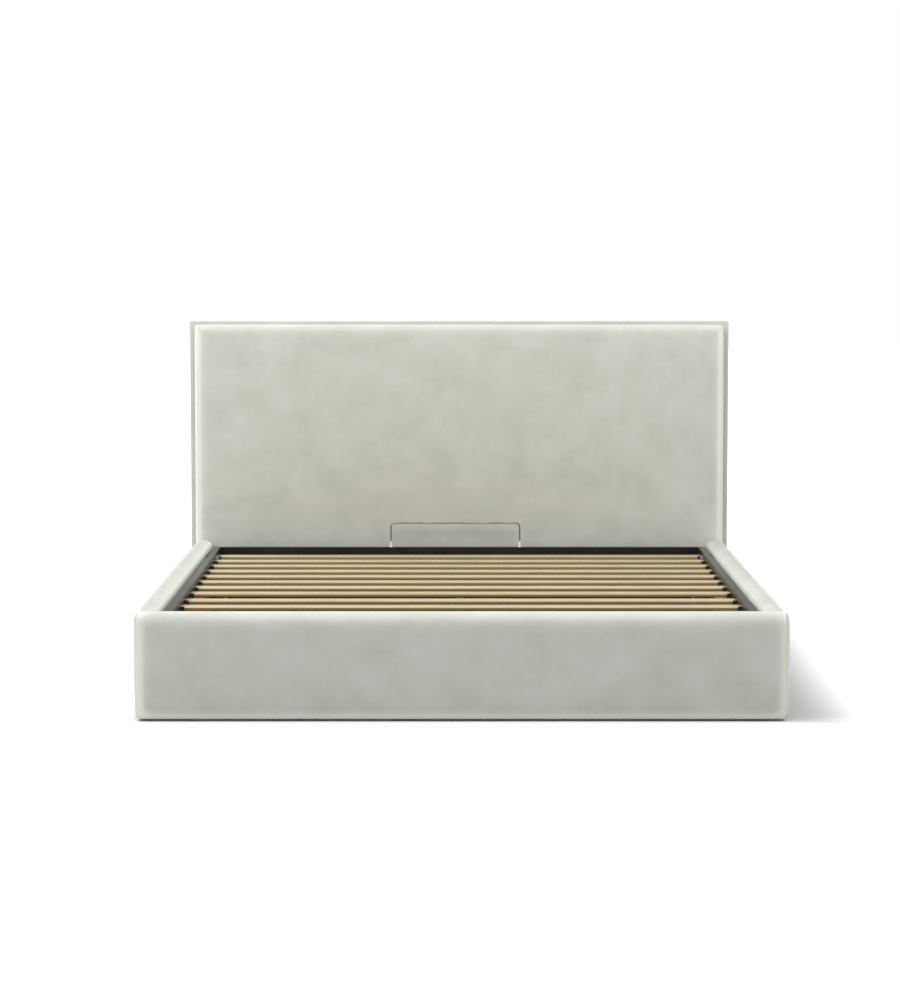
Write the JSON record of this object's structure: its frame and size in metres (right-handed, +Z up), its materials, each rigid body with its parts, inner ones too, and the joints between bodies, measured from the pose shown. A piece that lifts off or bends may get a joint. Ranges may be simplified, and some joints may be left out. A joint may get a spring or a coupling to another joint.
{
  "type": "upholstered storage bed",
  "caption": "Upholstered bed with a padded headboard and rails; its slat frame tips up on gas struts to open the storage box below.",
  "frame": {"origin": "on the floor, under the middle of the whole bed", "axes": "+Y towards the headboard, +X to the right as seen from the foot end, +Z up"},
  "size_m": [1.766, 2.177, 1.003],
  "materials": {
    "velvet": "short-pile velvet in pale grey green, over foam",
    "chipboard": "chipboard lined in pale laminate",
    "lining": "spunbond lining, dark grey",
    "pine": "planed softwood",
    "hardboard": "thin hardboard, smooth side up",
    "slat_birch": "laminated birch slats, clear lacquer",
    "frame_steel": "powder coat, dark grey satin",
    "zinc_steel": "zinc plated steel",
    "wire_steel": "bare drawn wire, dull",
    "cylinder_paint": "black gloss paint",
    "rod_chrome": "hard chrome",
    "black_plastic": "moulded black plastic",
    "white_plastic": "moulded white plastic",
    "rubber": "black rubber",
    "webbing": "woven black webbing"
  },
  "bodies": {
    "bed_box": {"corner_bolts": "zinc_steel", "corner_bracket_foot_left": "zinc_steel", "corner_bracket_foot_right": "zinc_steel", "corner_bracket_head_left": "zinc_steel", "corner_bracket_head_right": "zinc_steel", "floor_beam": "pine", "floor_cleat_foot": "pine", "floor_cleat_head": "pine", "floor_cleat_left": "pine", "floor_cleat_right": "pine", "floor_panel_left": "hardboard", "floor_panel_right": "hardboard", "footboard_board": "chipboard", "footboard_pad": "velvet", "glides": "black_plastic", "headboard_back_lining": "lining", "headboard_border": "velvet", "headboard_core": "chipboard", "headboard_cushion": "velvet", "headboard_lower_board": "velvet", "hinge_plate_left": "zinc_steel", "hinge_plate_right": "zinc_steel", "hinge_plate_screws": "zinc_steel", "pivot_bolts": "zinc_steel", "pivot_nuts": "zinc_steel", "rest_buffers": "rubber", "rest_ledge": "frame_steel", "side_rail_board_left": "chipboard", "side_rail_board_right": "chipboard", "side_rail_pad_left": "velvet", "side_rail_pad_right": "velvet", "strut_lower_pins": "zinc_steel"},
    "slat_frame": {"side_tube_left": "frame_steel", "side_tube_right": "frame_steel", "head_tube": "frame_steel", "foot_tube": "frame_steel", "centre_beam": "frame_steel", "slat_01": "slat_birch", "slat_02": "slat_birch", "slat_03": "slat_birch", "slat_04": "slat_birch", "slat_05": "slat_birch", "slat_06": "slat_birch", "slat_07": "slat_birch", "slat_08": "slat_birch", "slat_09": "slat_birch", "slat_10": "slat_birch", "slat_11": "slat_birch", "slat_12": "slat_birch", "slat_holders_left": "black_plastic", "slat_holders_right": "black_plastic", "stop_wire": "wire_steel", "stop_wire_sleeves": "white_plastic", "strut_lug_left": "frame_steel", "strut_lug_right": "frame_steel", "pull_strap": "webbing"},
    "cylinder_left": {"strut_cylinder_left": "cylinder_paint"},
    "rod_left": {"strut_rod_left": "rod_chrome"},
    "cylinder_right": {"strut_cylinder_right": "cylinder_paint"},
    "rod_right": {"strut_rod_right": "rod_chrome"}
  },
  "joints": [
    {"name": "frame_lift", "type": "hinge", "parent": "bed_box", "child": "slat_frame", "pos_m": [0, 0.78455, 0.248], "axis": [-1, 0, 0], "range_deg": [0, 40]},
    {"name": "strut_foot_left", "type": "hinge", "parent": "bed_box", "child": "cylinder_left", "pos_m": [-0.7835, 0.74809, 0.05135], "axis": [-1, 0, 0], "range_deg": [0, 20]},
    {"name": "strut_head_left", "type": "hinge", "parent": "slat_frame", "child": "rod_left", "pos_m": [-0.7835, 0.58729, 0.215], "axis": [-1, 0, 0], "range_deg": [-20, 0]},
    {"name": "strut_foot_right", "type": "hinge", "parent": "bed_box", "child": "cylinder_right", "pos_m": [0.7835, 0.74809, 0.05135], "axis": [-1, 0, 0], "range_deg": [0, 20]},
    {"name": "strut_head_right", "type": "hinge", "parent": "slat_frame", "child": "rod_right", "pos_m": [0.7835, 0.58729, 0.215], "axis": [-1, 0, 0], "range_deg": [-20, 0]}
  ],
  "couplings": [
    {"joint": "strut_foot_left", "follows": "frame_lift", "ratio": 0.5},
    {"joint": "strut_head_left", "follows": "frame_lift", "ratio": -0.5},
    {"joint": "strut_foot_right", "follows": "frame_lift", "ratio": 0.5},
    {"joint": "strut_head_right", "follows": "frame_lift", "ratio": -0.5}
  ]
}
